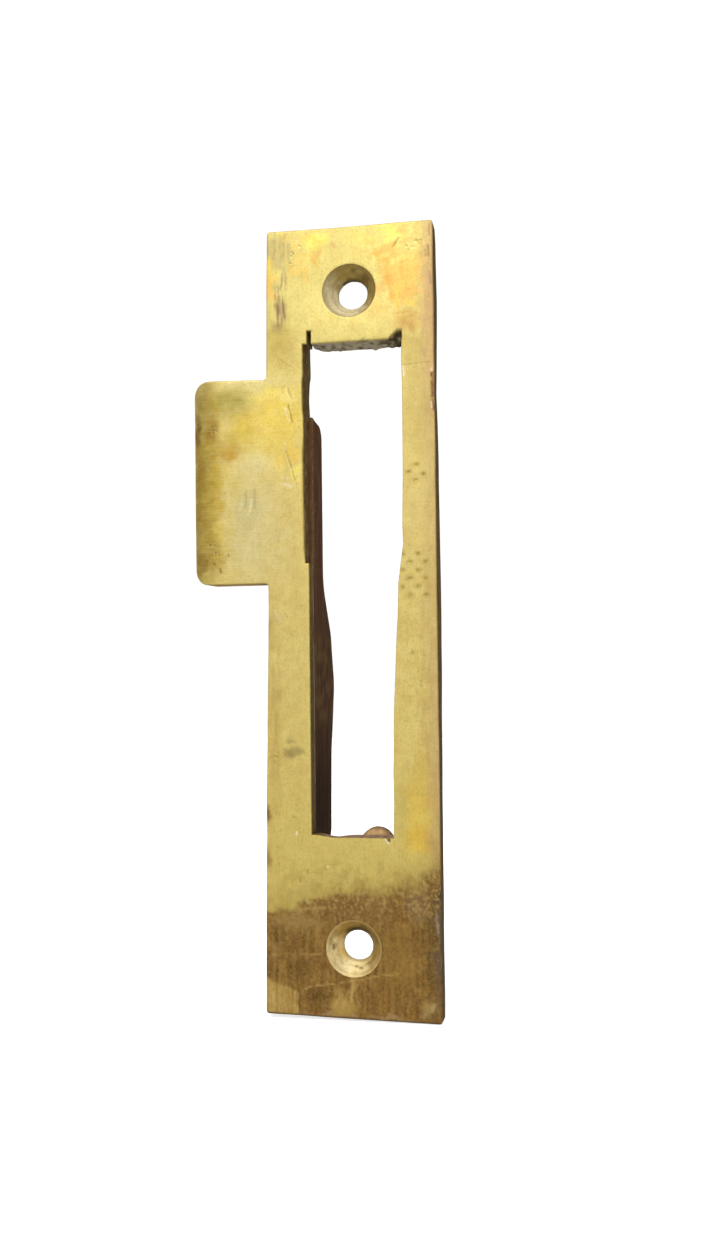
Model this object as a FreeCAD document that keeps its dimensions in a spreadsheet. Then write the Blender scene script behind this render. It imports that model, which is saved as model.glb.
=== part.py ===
"""Keep (striking plate) of a mortise sash lock.

A brass plate with a curved lip, a long bolt opening and two countersunk screw holes carries two
sheet cheeks behind the opening and a small round-topped lug below it. The three back pieces are
brazed on, so each has a seam of filler metal along its foot.

Frame, in millimetres: +X across the plate away from the lip, +Y into the door frame, +Z up.
The origin is midway between the two screw holes, on the plate's back face, which seats on the
door frame. The show face is at -plate_thick.
"""
import FreeCAD, Part
import math
import os
import Sketcher

DIMENSIONS = {
    # plate
    "plate_width": 25.4,
    "plate_length": 117.5,
    "end_skew": 0.6,
    "plate_thick": 3.175,
    "plate_corner_round": 0.5,
    # lip, which leaves the plate's -X edge
    "lip_low": 4.6,
    "lip_high": 35.8,
    "lip_flat_reach": 20.7,
    "lip_bend_radius": 7.0,
    "lip_bend_angle": 34.0,
    "lip_corner_round": 2.4,
    "lip_root_round": 0.6,
    # screw holes
    "screw_spacing": 98.0,
    "screw_hole": 4.4,
    "screw_sink": 8.2,
    "screw_sink_angle": 80.0,
    # opening: a wide latch stretch above a tapered bolt stretch
    "opening_high": 41.0,
    "opening_low": -33.1,
    "latch_step": 7.5,
    "latch_left_high": 7.4,
    "latch_left_low": 7.0,
    "latch_right": 7.9,
    "latch_right_low": 10.0,
    "bolt_left_high": 6.45,
    "bolt_left_low": 6.2,
    "bolt_right_high": 7.1,
    "bolt_taper_ends": 4.0,
    "bolt_right_low": 6.0,
    # saw kerf and broken corner at the top of the opening
    "kerf_width": 0.7,
    "kerf_middle": -6.35,
    "kerf_high": 43.0,
    "chip_left": 5.8,
    "chip_high": 42.4,
    # cheeks, of sheet, behind the plate
    "sheet_thick": 1.6,
    "cheek_inside": 6.4,
    "cheek_low": -35.0,
    "cheek_high": 30.4,
    "cheek_short_high": -4.0,
    "cheek_high_drop": 0.2,
    "cheek_latch_depth": 6.45,
    "latch_depth_gain": 0.6,
    "latch_depth_ends": 5.2,
    "cheek_shoulder_depth": 12.8,
    "shoulder_high": -2.0,
    "cheek_bolt_depth": 15.5,
    "bolt_depth_high": -10.5,
    "cheek_tail_depth": 12.6,
    "tail_flare": 0.5,
    "tail_high": -21.0,
    "cheek_corner_round": 2.2,
    "cheek_blend_round": 6.0,
    # round-topped lug below the opening
    "lug_middle": 3.05,
    "lug_radius": 2.65,
    "lug_centre_high": -34.4,
    "lug_low": -39.0,
    "lug_thick": 1.5,
    # filler metal
    "seam_leg": 1.3,
}

# An edge counts as parallel above this cosine, and as meeting a point within this distance.
PARALLEL_COSINE = 0.99
MEETING_DISTANCE = 0.01
# A bend that turned the right way carries the lip at least this far past its flat part.
LEAST_BEND_REACH = 1.0

doc = FreeCAD.newDocument("mortise_keep")


def make_sheet(values):
    """Write the driving dimensions down column B, named in column A."""
    sheet = doc.addObject("Spreadsheet::Sheet", "dims")
    for row, (alias, value) in enumerate(values.items(), start=1):
        sheet.set("A%d" % row, alias)
        sheet.set("B%d" % row, str(value))
        sheet.setAlias("B%d" % row, alias)
    doc.recompute()
    return sheet


dims = make_sheet(DIMENSIONS)


def new_body(label):
    body = doc.addObject("PartDesign::Body", label)
    body.Label = label
    return body


def new_sketch(body, name, plane):
    """Attach an empty sketch to one of the body's own origin planes."""
    sketch = body.newObject("Sketcher::SketchObject", name)
    for feature in body.Origin.OriginFeatures:
        if feature.Role == plane:
            sketch.AttachmentSupport = [(feature, "")]
    sketch.MapMode = "FlatFace"
    return sketch


def tie_point(sketch, geometry, end, across, up):
    """Fix one end of a line or arc at two distances that follow the sheet."""
    for kind, text in (("DistanceX", across), ("DistanceY", up)):
        distance = float(sketch.evalExpression(text))
        number = sketch.addConstraint(Sketcher.Constraint(kind, -1, 1, geometry, end, distance))
        sketch.setExpression("Constraints[%d]" % number, text)


def draw_outline(sketch, corners):
    """Close a ring of straight lines through corners, each a pair of expressions."""
    points = []
    for across, up in corners:
        spot = (float(sketch.evalExpression(across)), float(sketch.evalExpression(up)))
        points.append(FreeCAD.Vector(spot[0], spot[1], 0))
    lines = []
    for index, point in enumerate(points):
        following = points[(index + 1) % len(points)]
        lines.append(sketch.addGeometry(Part.LineSegment(point, following), False))
    for index, line in enumerate(lines):
        following = lines[(index + 1) % len(lines)]
        sketch.addConstraint(Sketcher.Constraint("Coincident", line, 2, following, 1))
    for line, (across, up) in zip(lines, corners):
        tie_point(sketch, line, 1, across, up)


def pad(body, sketch, name, length):
    feature = body.newObject("PartDesign::Pad", name)
    feature.Profile = sketch
    feature.setExpression("Length", length)
    doc.recompute()
    return feature


def pocket_through(body, sketch, name):
    """Cut the sketch right through the body, and fail loudly if it took nothing away."""
    before = body.Shape.Volume
    feature = body.newObject("PartDesign::Pocket", name)
    feature.Profile = sketch
    feature.Type = "ThroughAll"
    feature.Midplane = True
    doc.recompute()
    if not body.Shape.Volume < before:
        raise RuntimeError(name + " removed no metal")
    return feature


def edges_at(shape, places, along):
    """Names of the straight edges parallel to `along` that pass through the given points."""
    names = []
    for place in places:
        point = Part.Vertex(FreeCAD.Vector(*place))
        for number, edge in enumerate(shape.Edges, start=1):
            if not isinstance(edge.Curve, Part.Line):
                continue
            parallel = abs(edge.Curve.Direction.dot(along)) > PARALLEL_COSINE
            if parallel and edge.distToShape(point)[0] < MEETING_DISTANCE:
                names.append("Edge%d" % number)
    if len(names) != len(places):
        raise RuntimeError("found %d edges for %d corners" % (len(names), len(places)))
    return names


def round_edges(body, base, name, places, along, radius):
    feature = body.newObject("PartDesign::Fillet", name)
    feature.Base = (base, edges_at(base.Shape, places, along))
    feature.setExpression("Radius", radius)
    doc.recompute()
    return feature


def make_strike_plate():
    """Flat plate and lip, the lip's end bent back, then the opening with its kerf, and the screw holes."""
    body = new_body("strike_plate")
    depthwise = FreeCAD.Vector(0, 1, 0)

    blank = new_sketch(body, "plate_outline", "XZ_Plane")
    edge = "dims.plate_width / 2"
    tip = "dims.plate_length / 2"
    draw_outline(blank, [
        (edge, "-" + tip + " - dims.end_skew"),
        (edge, tip),
        ("-" + edge, tip),
        ("-" + edge, "dims.lip_high"),
        ("-dims.lip_flat_reach", "dims.lip_high"),
        ("-dims.lip_flat_reach", "dims.lip_low"),
        ("-" + edge, "dims.lip_low"),
        ("-" + edge, "-" + tip),
    ])
    plate = pad(body, blank, "plate_thickness", "dims.plate_thick")

    # The end of the lip turns about an upright axis behind the plate.
    section = new_sketch(body, "lip_section", "YZ_Plane")
    section.setExpression("AttachmentOffset.Base.z", "-dims.lip_flat_reach")
    draw_outline(section, [
        ("-dims.plate_thick", "dims.lip_low"),
        ("0", "dims.lip_low"),
        ("0", "dims.lip_high"),
        ("-dims.plate_thick", "dims.lip_high"),
    ])
    bend_depth = dims.lip_bend_radius - dims.plate_thick
    axis_line = Part.LineSegment(FreeCAD.Vector(bend_depth, 0, 0), FreeCAD.Vector(bend_depth, 1, 0))
    axis = section.addGeometry(axis_line, True)
    tie_point(section, axis, 1, "dims.lip_bend_radius - dims.plate_thick", "0")
    tie_point(section, axis, 2, "dims.lip_bend_radius - dims.plate_thick", "dims.lip_high")
    doc.recompute()
    bend = body.newObject("PartDesign::Revolution", "lip_bend")
    bend.Profile = section
    bend.ReferenceAxis = (section, ["Axis0"])
    bend.setExpression("Angle", "dims.lip_bend_angle")
    doc.recompute()
    if not body.Shape.BoundBox.XMin < -dims.lip_flat_reach - LEAST_BEND_REACH:
        bend.Reversed = True
        doc.recompute()

    angle = math.radians(dims.lip_bend_angle)
    lip_end = (
        -dims.lip_flat_reach - dims.lip_bend_radius * math.sin(angle),
        dims.lip_bend_radius - dims.plate_thick - dims.lip_bend_radius * math.cos(angle),
    )
    through_lip = FreeCAD.Vector(math.sin(angle), math.cos(angle), 0)
    lip_corners = [(lip_end[0], lip_end[1], height) for height in (dims.lip_low, dims.lip_high)]
    rounded_lip = round_edges(body, bend, "lip_corners", lip_corners, through_lip, "dims.lip_corner_round")

    half_width = dims.plate_width / 2
    half_length = dims.plate_length / 2
    roots = [(-half_width, 0, height) for height in (dims.lip_low, dims.lip_high)]
    rounded_roots = round_edges(body, rounded_lip, "lip_roots", roots, depthwise, "dims.lip_root_round")
    low_right = -half_length - dims.end_skew
    corners = [(-half_width, 0, -half_length), (half_width, 0, low_right)]
    corners += [(-half_width, 0, half_length), (half_width, 0, half_length)]
    round_edges(body, rounded_roots, "plate_corners", corners, depthwise, "dims.plate_corner_round")

    # The opening is one outline, with a saw kerf at its top left and a chipped top right corner.
    opening = new_sketch(body, "opening_outline", "XZ_Plane")
    draw_outline(opening, [
        ("-dims.latch_left_high", "dims.opening_high"),
        ("-dims.latch_left_low", "dims.latch_step"),
        ("-dims.bolt_left_high", "dims.latch_step"),
        ("-dims.bolt_left_low", "dims.opening_low"),
        ("dims.bolt_right_low", "dims.opening_low"),
        ("dims.bolt_right_high", "dims.bolt_taper_ends"),
        ("dims.latch_right", "dims.latch_right_low"),
        ("dims.latch_right", "dims.chip_high"),
        ("dims.latch_right - dims.kerf_width", "dims.chip_high"),
        ("dims.chip_left", "dims.opening_high"),
        ("dims.kerf_middle + dims.kerf_width / 2", "dims.opening_high"),
        ("dims.kerf_middle + dims.kerf_width / 2", "dims.kerf_high"),
        ("dims.kerf_middle - dims.kerf_width / 2", "dims.kerf_high"),
        ("dims.kerf_middle - dims.kerf_width / 2", "dims.opening_high"),
    ])
    pocket_through(body, opening, "opening")

    # The screw holes are sunk from the show face.
    front = new_sketch(body, "screw_centres", "XZ_Plane")
    front.setExpression("AttachmentOffset.Base.z", "dims.plate_thick")
    for height in ("dims.screw_spacing / 2", "-dims.screw_spacing / 2"):
        centre = FreeCAD.Vector(0, float(front.evalExpression(height)), 0)
        circle = front.addGeometry(Part.Circle(centre, FreeCAD.Vector(0, 0, 1), dims.screw_hole / 2), False)
        tie_point(front, circle, 3, "0", height)
        number = front.addConstraint(Sketcher.Constraint("Diameter", circle, dims.screw_hole))
        front.setExpression("Constraints[%d]" % number, "dims.screw_hole")
    doc.recompute()
    before = body.Shape.Volume
    holes = body.newObject("PartDesign::Hole", "screw_holes")
    holes.Profile = front
    holes.DepthType = "ThroughAll"
    holes.Threaded = False
    holes.HoleCutType = "Countersink"
    holes.HoleCutCustomValues = True
    holes.setExpression("Diameter", "dims.screw_hole")
    holes.setExpression("HoleCutDiameter", "dims.screw_sink")
    holes.setExpression("HoleCutCountersinkAngle", "dims.screw_sink_angle")
    doc.recompute()
    if not body.Shape.Volume < before:
        raise RuntimeError("the screw holes removed no metal")
    return body


def make_cheek(label, top_corners, top_rounds, inner_face):
    """Sheet cheek standing on the plate's back; every corner is a pair of (depth, height)."""
    body = new_body(label)
    outline = new_sketch(body, label + "_outline", "YZ_Plane")
    corners = [
        ("0", "dims.cheek_low"),
        ("dims.cheek_tail_depth", "dims.cheek_low"),
        ("dims.cheek_tail_depth + dims.tail_flare", "dims.tail_high"),
        ("dims.cheek_bolt_depth", "dims.bolt_depth_high"),
    ] + top_corners
    rounds = ["corner", "blend", "blend"] + top_rounds
    draw_outline(outline, corners)
    feature = pad(body, outline, label + "_sheet", "dims.sheet_thick")
    for kind in ("corner", "blend"):
        places = []
        for (depth, height), rounding in zip(corners[1:-1], rounds):
            if rounding == kind:
                places.append((0, float(dims.evalExpression(depth)), float(dims.evalExpression(height))))
        name = "%s_%s_rounds" % (label, kind)
        radius = "dims.cheek_%s_round" % kind
        feature = round_edges(body, feature, name, places, FreeCAD.Vector(1, 0, 0), radius)
    body.setExpression("Placement.Base.x", inner_face)
    doc.recompute()
    return body


def make_left_cheek():
    """Full-height cheek on the lip side: shallow behind the latch, deeper behind the bolt."""
    top_corners = [
        ("dims.cheek_shoulder_depth", "dims.shoulder_high"),
        ("dims.cheek_latch_depth + dims.latch_depth_gain", "dims.latch_depth_ends"),
        ("dims.cheek_latch_depth", "dims.cheek_high - dims.cheek_high_drop"),
        ("0", "dims.cheek_high"),
    ]
    rounds = ["blend", "blend", "corner"]
    return make_cheek("left_keep_cheek", top_corners, rounds, "-dims.cheek_inside - dims.sheet_thick")


def make_right_cheek():
    """Short cheek on the far side, behind the bolt stretch only."""
    top_corners = [
        ("dims.cheek_shoulder_depth", "dims.cheek_short_high - dims.cheek_high_drop"),
        ("0", "dims.cheek_short_high"),
    ]
    return make_cheek("right_keep_cheek", top_corners, ["corner"], "dims.cheek_inside")


def make_lug():
    """Lug lying on the plate's back, its round top showing past the opening's lower edge."""
    head = doc.addObject("Part::Cylinder", "lug_head")
    head.setExpression("Radius", "dims.lug_radius")
    head.setExpression("Height", "dims.lug_thick")
    head.Placement.Rotation = FreeCAD.Rotation(FreeCAD.Vector(1, 0, 0), -90)
    head.setExpression("Placement.Base.x", "dims.lug_middle")
    head.setExpression("Placement.Base.z", "dims.lug_centre_high")
    shank = doc.addObject("Part::Box", "lug_shank")
    shank.setExpression("Length", "2 * dims.lug_radius")
    shank.setExpression("Width", "dims.lug_thick")
    shank.setExpression("Height", "dims.lug_centre_high - dims.lug_low")
    shank.setExpression("Placement.Base.x", "dims.lug_middle - dims.lug_radius")
    shank.setExpression("Placement.Base.z", "dims.lug_low")
    lug = doc.addObject("Part::Fuse", "end_lug")
    lug.Label = "end_lug"
    lug.Base = head
    lug.Tool = shank
    lug.Refine = True
    doc.recompute()
    return lug


def make_seam(label, plane, corners, length, place):
    """Three-cornered run of filler metal in the angle between a back piece and the plate."""
    body = new_body(label)
    section = new_sketch(body, label + "_section", plane)
    draw_outline(section, corners)
    pad(body, section, label + "_run", length)
    for letter, text in zip("xyz", place):
        body.setExpression("Placement.Base." + letter, text)
    doc.recompute()
    return body


def make_seams():
    """One seam along the outer foot of each cheek, and one under the lug."""
    leg = "dims.seam_leg"
    outside = "dims.cheek_inside + dims.sheet_thick"
    start = "dims.cheek_low + dims.seam_leg"
    left = make_seam(
        "left_braze_seam", "XY_Plane", [("0", "0"), ("0", leg), ("-" + leg, "0")],
        "dims.cheek_high - dims.cheek_low - 2 * dims.seam_leg", ("-(%s)" % outside, "0", start))
    right = make_seam(
        "right_braze_seam", "XY_Plane", [("0", "0"), (leg, "0"), ("0", leg)],
        "dims.cheek_short_high - dims.cheek_low - 2 * dims.seam_leg", (outside, "0", start))
    lug = make_seam(
        "lug_braze_seam", "YZ_Plane", [("0", "0"), ("0", "-" + leg), (leg, "0")],
        "2 * dims.lug_radius", ("dims.lug_middle - dims.lug_radius", "0", "dims.lug_low"))
    return [left, right, lug]


def check_document():
    """Stop if any object in the document failed to compute."""
    for thing in doc.Objects:
        if "Invalid" in thing.State or "Error" in thing.State:
            raise RuntimeError("%s did not compute: %s" % (thing.Name, thing.State))


def write_pieces(pieces):
    os.makedirs("parts", exist_ok=True)
    for piece in pieces:
        shape = piece.Shape
        if shape.isNull() or not shape.isValid() or len(shape.Solids) != 1:
            raise RuntimeError(piece.Label + " is not one valid solid")
    for piece in pieces:
        piece.Shape.exportStep("parts/%s.step" % piece.Label)


assembly = [make_strike_plate(), make_left_cheek(), make_right_cheek(), make_lug()] + make_seams()
doc.recompute()
check_document()
write_pieces(assembly)
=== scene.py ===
"""Looks of a mortise-lock keep, a worn brass striking plate with brazed cheeks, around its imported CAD.

Sizes here are in millimetres until a mesh is made. Each sheet piece is rebuilt from the outline of
its CAD node: the outline is walked finely, its edges are rounded, its cut faces roughened, and its
skins filled with a fine net of triangles that carries dents, waviness and stains.
"""
import math

import bpy
import numpy as np
from mathutils import Matrix, Vector, kdtree, noise
from mathutils.geometry import delaunay_2d_cdt


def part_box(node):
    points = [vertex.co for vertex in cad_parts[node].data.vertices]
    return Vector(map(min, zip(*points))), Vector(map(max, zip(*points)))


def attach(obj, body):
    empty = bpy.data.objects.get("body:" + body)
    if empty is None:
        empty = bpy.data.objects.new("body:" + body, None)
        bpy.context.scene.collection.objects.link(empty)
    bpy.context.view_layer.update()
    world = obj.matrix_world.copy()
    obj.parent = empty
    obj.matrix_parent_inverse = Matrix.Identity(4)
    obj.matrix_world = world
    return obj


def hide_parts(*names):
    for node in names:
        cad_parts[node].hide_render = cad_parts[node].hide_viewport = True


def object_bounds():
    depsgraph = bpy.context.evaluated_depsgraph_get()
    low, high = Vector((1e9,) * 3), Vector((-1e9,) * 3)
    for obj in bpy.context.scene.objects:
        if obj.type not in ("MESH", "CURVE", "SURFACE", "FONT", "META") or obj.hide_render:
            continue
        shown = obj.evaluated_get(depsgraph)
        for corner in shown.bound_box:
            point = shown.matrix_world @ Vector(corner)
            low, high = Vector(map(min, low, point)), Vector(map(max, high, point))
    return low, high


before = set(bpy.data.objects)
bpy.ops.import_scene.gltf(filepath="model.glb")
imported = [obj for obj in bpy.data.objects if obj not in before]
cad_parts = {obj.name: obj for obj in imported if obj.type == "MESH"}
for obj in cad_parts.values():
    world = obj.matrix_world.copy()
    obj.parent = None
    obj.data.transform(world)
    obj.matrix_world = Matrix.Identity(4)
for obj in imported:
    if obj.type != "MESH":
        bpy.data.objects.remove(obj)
cad_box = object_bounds()

MM = 0.001


def box_in_mm(node):
    """Low and high corners of a CAD node's box."""
    return [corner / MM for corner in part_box(node)]


PLATE_THICK = -box_in_mm("strike_plate")[0].y
PLATE_HALF_WIDTH = 12.7
PLATE_HALF_LENGTH = 58.75
END_SKEW = 0.6
SCREW_HEIGHT = 49.0
OPENING_LOW, OPENING_HIGH = -32.9, 40.5
LIP_FLAT_REACH = 20.7
LIP_BEND_RADIUS = 7.0
SCREW_HOLE_RADIUS = 2.2
SINK_RADIUS = 4.1
SINK_SLOPE = math.tan(math.radians(40))
BORE_STARTS = (SINK_RADIUS - SCREW_HOLE_RADIUS) / SINK_SLOPE
EDGE_CLEARANCE = 0.12
MERGE_DISTANCE = 1e-7
SHARP_TURN = math.radians(50)
ROUND_STEPS = [math.radians(angle) for angle in (0, 30, 60, 90)]


# ---- numbers

def rough(spots, size, seed=0.0):
    """Smooth noise from -1 to 1 at an array of places in mm, its lumps about `size` mm across."""
    scaled = np.zeros((len(spots), 3))
    scaled[:, :spots.shape[1]] = np.asarray(spots) / size
    scaled[:, 2] += seed
    return np.array([noise.noise(Vector(spot)) for spot in scaled])


def smooth(values, low, high):
    """0 below low, 1 above high, and an S between."""
    share = np.clip((values - low) / (high - low), 0, 1)
    return share * share * (3 - 2 * share)


def band(values, low, high, soft):
    """1 between low and high, fading to 0 over `soft` outside."""
    return smooth(values, low - soft, low) * (1 - smooth(values, high, high + soft))


def colour(text):
    """Linear RGB of a hex colour such as "DEC878"."""
    parts = np.array([int(text[i:i + 2], 16) for i in (0, 2, 4)]) / 255
    return np.where(parts <= 0.04045, parts / 12.92, ((parts + 0.055) / 1.055) ** 2.4)


# ---- outlines from the CAD

def skin_outlines(node, unfold):
    """Closed outlines of the CAD node's front skin, as (u, w) arrays with the metal on their left."""
    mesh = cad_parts[node].data
    spots = unfold(np.array([vertex.co for vertex in mesh.vertices]) / MM)
    numbers = {}
    welded = [numbers.setdefault(tuple(np.round(spot, 3)), len(numbers)) for spot in spots]
    places = np.array(list(numbers))
    border = set()
    for face in mesh.polygons:
        corners = [welded[index] for index in face.vertices]
        if np.abs(places[corners, 2]).max() > 0.02:
            continue
        for pair in zip(corners, corners[1:] + corners[:1]):
            if pair[::-1] in border:
                border.discard(pair[::-1])
            else:
                border.add(pair)
    following = dict(sorted(border))
    outlines = []
    while following:
        start = next(iter(following))
        loop = [start]
        spot = following.pop(start)
        while spot != start:
            loop.append(spot)
            spot = following.pop(spot)
        outlines.append(places[loop, :2])
    return outlines


def walk_finely(loop, spacing):
    """The same closed outline with points no further apart than about the spacing."""
    points = []
    for here, there in zip(loop, np.roll(loop, -1, 0)):
        count = max(1, round(float(np.linalg.norm(there - here)) / spacing))
        points += [here + (there - here) * step / count for step in range(count)]
    return np.array(points)


def away_from_metal(loop):
    """Direction out of the metal at each point, longer at corners so that offsets keep their width."""
    ahead = np.roll(loop, -1, 0) - loop
    ahead /= np.linalg.norm(ahead, axis=1)[:, None]
    behind = np.roll(ahead, 1, 0)
    both = ahead + behind
    spread = np.maximum(1 + (ahead * behind).sum(1), 0.35)
    return np.column_stack([both[:, 1], -both[:, 0]]) / spread[:, None]


# ---- sheet pieces

class Outline:
    """One closed edge of a sheet piece: its points, edge rounding, wall rows and the wall's lean."""

    def __init__(self, points, rows, front_round, back_round, push):
        self.points = points
        self.aside = away_from_metal(points)
        self.rows = rows
        self.front_round = np.broadcast_to(front_round, len(points))
        self.back_round = np.broadcast_to(back_round, len(points))
        self.push = push

    def rings(self, thick):
        """Rings of (u, w, depth) down the wall, from the front skin to the back skin."""
        rings = []
        for angle in ROUND_STEPS:
            depth = self.front_round * (1 - math.cos(angle))
            rings.append(self.ring(depth, self.front_round * (1 - math.sin(angle))))
        for row in self.rows:
            rings.append(self.ring(np.full(len(self.points), row), 0))
        for angle in reversed(ROUND_STEPS):
            depth = thick - self.back_round * (1 - math.cos(angle))
            rings.append(self.ring(depth, self.back_round * (1 - math.sin(angle))))
        return rings

    def ring(self, depth, inset):
        shift = self.push(self.points, depth, self.aside)
        inset = np.broadcast_to(inset, len(self.points))
        return np.column_stack([self.points + shift - self.aside * inset[:, None], depth])


def inside(spots, loops):
    """Which spots lie in the metal, by counting the edges to one side of each."""
    odd = np.zeros(len(spots), bool)
    u, w = spots[:, 0], spots[:, 1]
    for loop in loops:
        for (u0, w0), (u1, w1) in zip(loop, np.roll(loop, -1, 0)):
            if w0 != w1:
                odd ^= ((w0 > w) != (w1 > w)) & (u < u0 + (u1 - u0) * (w - w0) / (w1 - w0))
    return odd


def fill_points(loops, spacing, fine_spots=(), fine_reach=0.55, fine_spacing=0.1):
    """Loose points inside the loops: an even net, with a finer one around each fine spot."""
    low, high = loops[0].min(0), loops[0].max(0)
    for loop in loops:
        low, high = np.minimum(low, loop.min(0)), np.maximum(high, loop.max(0))

    def net(low, high, step):
        rows = np.arange(low[1], high[1], step * math.sqrt(0.75))
        columns = np.arange(low[0], high[0], step)
        u = columns[None, :] + (np.arange(len(rows)) % 2)[:, None] * step / 2
        return np.column_stack([u.ravel(), np.repeat(rows, len(columns))])

    coarse = net(low, high, spacing)
    fine = net(low, high, fine_spacing) if len(fine_spots) else coarse[:0]
    crowded, wanted = np.zeros(len(coarse), bool), np.zeros(len(fine), bool)
    for spot in fine_spots:
        crowded |= np.linalg.norm(coarse - spot, axis=1) < fine_reach
        wanted |= np.linalg.norm(fine - spot, axis=1) < fine_reach
    points = np.vstack([coarse[~crowded], fine[wanted]])
    points = points[inside(points, loops)]
    edge = np.vstack(loops)
    tree = kdtree.KDTree(len(edge))
    for index, spot in enumerate(edge):
        tree.insert((spot[0], spot[1], 0), index)
    tree.balance()
    clear = [tree.find((spot[0], spot[1], 0))[2] > EDGE_CLEARANCE for spot in points]
    return points[clear]


def skin_triangles(loops, loose):
    """Triangles that fill the metal between the loops, numbered through the loops and then loose."""
    spots = np.vstack(loops + [loose])
    edges = []
    start = 0
    for loop in loops:
        count = len(loop)
        edges += [(start + index, start + (index + 1) % count) for index in range(count)]
        start += count
    made = delaunay_2d_cdt([Vector(spot) for spot in spots], edges, [], 0, MERGE_DISTANCE)
    faces, owners = made[2], made[3]
    if any(not owner for owner in owners):
        raise RuntimeError("an outline crosses itself")
    triangles = np.array([[owners[corner][0] for corner in face] for face in faces])
    return triangles[inside(spots[triangles].mean(1), loops)]


def build_sheet(name, outlines, thick, fold, spacing, relief, fine_spots=()):
    """A sheet piece from its outlines. Gives the object, and each vertex's (u, w, depth) and edge share.

    `relief(u, w)` sinks the front skin; `fold` turns (u, w, depth) into the row frame.
    """
    stacks = [outline.rings(thick) for outline in outlines]
    spots, faces, edge_share = [], [], []
    first = []
    total = 0
    for stack in stacks:
        first.append(total)
        count = len(stack[0])
        for level, ring in enumerate(stack):
            near_edge = min(level, len(stack) - 1 - level) in (1, 2)
            spots.append(ring)
            edge_share.append(np.full(count, 1.0 if near_edge else 0.3))
            if level:
                below, above = total, total - count
                for index in range(count):
                    after = (index + 1) % count
                    faces.append((above + index, below + index, below + after, above + after))
            total += count
    for level in (0, -1):
        loops = [stack[level][:, :2] for stack in stacks]
        loose = fill_points(loops, spacing, fine_spots if level == 0 else ())
        numbers = []
        for start, stack in zip(first, stacks):
            count = len(stack[0])
            offset = start + (len(stack) - 1) * count if level else start
            numbers += range(offset, offset + count)
        numbers += range(total, total + len(loose))
        for triangle in skin_triangles(loops, loose):
            corners = [numbers[corner] for corner in triangle]
            faces.append(tuple(corners if level == 0 else corners[::-1]))
        spots.append(np.column_stack([loose, np.full(len(loose), 0.0 if level == 0 else thick)]))
        edge_share.append(np.zeros(len(loose)))
        total += len(loose)
    places = np.vstack(spots)
    share = 1 - places[:, 2] / thick
    sunk = places.copy()
    sunk[:, 2] += relief(places[:, :2]) * share
    piece = new_piece(name, fold(sunk), faces)
    return piece, places, np.concatenate(edge_share)


def new_object(name, data):
    made = bpy.data.objects.new(name, data)
    bpy.context.scene.collection.objects.link(made)
    return made


def new_piece(name, places, faces):
    """A smooth-shaded mesh object from places in mm, sharp where its faces turn quickly."""
    mesh = bpy.data.meshes.new(name)
    mesh.from_pydata([tuple(place) for place in places * MM], [], faces)
    mesh.validate()
    mesh.polygons.foreach_set("use_smooth", [True] * len(mesh.polygons))
    mesh.set_sharp_from_angle(angle=SHARP_TURN)
    return new_object(name, mesh)


def with_values(piece, **layers):
    """The piece, with one number or one colour stored for each vertex under each name."""
    for name, values in layers.items():
        values = np.asarray(values, np.float32)
        if values.ndim == 1:
            layer = piece.data.attributes.new(name, "FLOAT", "POINT")
            layer.data.foreach_set("value", values)
        else:
            layer = piece.data.attributes.new(name, "FLOAT_COLOR", "POINT")
            opaque_values = np.column_stack([values, np.ones(len(values), np.float32)])
            layer.data.foreach_set("color", opaque_values.ravel())
    return piece


# ---- the plate's shape

def fold_plate(spots):
    """(u, w, depth) on the flattened plate to x, y, z: past the flat reach the lip turns back."""
    u, w, depth = spots[:, 0], spots[:, 1], spots[:, 2]
    turn = np.maximum(-LIP_FLAT_REACH - u, 0) / LIP_BEND_RADIUS
    radius = LIP_BEND_RADIUS - depth
    x = np.maximum(u, -LIP_FLAT_REACH) - radius * np.sin(turn)
    y = LIP_BEND_RADIUS - PLATE_THICK - radius * np.cos(turn)
    return np.column_stack([x, y, w])


def unfold_plate(places):
    """The reverse of fold_plate, for places anywhere on the plate."""
    x, y, z = places[:, 0], places[:, 1], places[:, 2]
    back = LIP_BEND_RADIUS - PLATE_THICK - y
    bent = x < -LIP_FLAT_REACH - 1e-3
    turn = np.where(bent, np.arctan2(-LIP_FLAT_REACH - x, back), 0)
    radius = np.where(bent, np.hypot(-LIP_FLAT_REACH - x, back), back)
    u = np.where(bent, -LIP_FLAT_REACH - LIP_BEND_RADIUS * turn, x)
    return np.column_stack([u, z, LIP_BEND_RADIUS - radius])


# How far the opening's right side bows in: heights, then mm at each.
RIGHT_BOW = ((-33, -28, -24, -18, -14, -9, -4, 0, 6, 10, 13, 20, 34, 38, 42),
             (0.0, 0.06, 0.24, 0.3, 0.35, 0.26, 0.2, 0.06, 0.1, 0.1, 0.19, 0.05, 0.04, 0.15, 0.0))


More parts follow.
